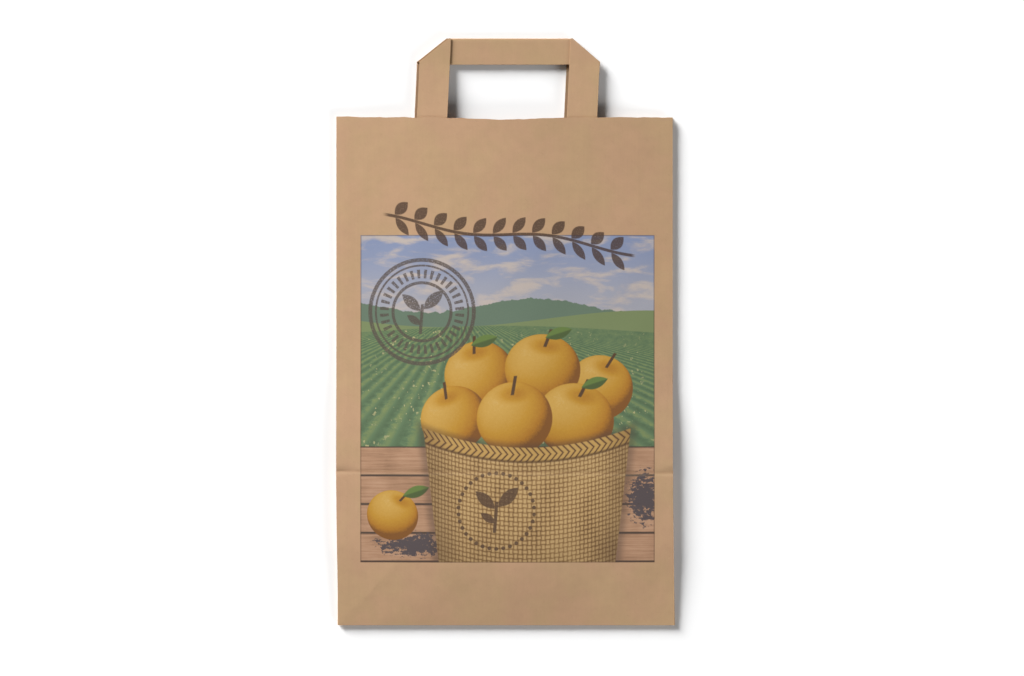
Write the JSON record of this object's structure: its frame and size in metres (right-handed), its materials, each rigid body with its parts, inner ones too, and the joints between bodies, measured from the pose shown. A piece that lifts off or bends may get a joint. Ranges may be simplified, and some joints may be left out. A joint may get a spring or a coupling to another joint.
{
  "type": "paper carrier bag",
  "caption": "Flat-folded paper carrier bag with side gussets, a block base folded up behind the back wall and two folded tape handles glued inside the rim.",
  "frame": {"origin": "below the middle of the whole outline, on the surface that the bag lies on", "axes": "+X to the right of the front wall, +Y from the base towards the handles, +Z out of the front wall, which faces up"},
  "size_m": [0.2425, 0.4195, 0.0105],
  "materials": {
    "kraft_paper": "brown kraft paper, matt, printed on the front wall",
    "handle_tape": "folded brown kraft paper tape, matt"
  },
  "bodies": {
    "root": {"bag_body": "kraft_paper", "front_handle": "handle_tape", "back_handle": "handle_tape"}
  },
  "joints": []
}
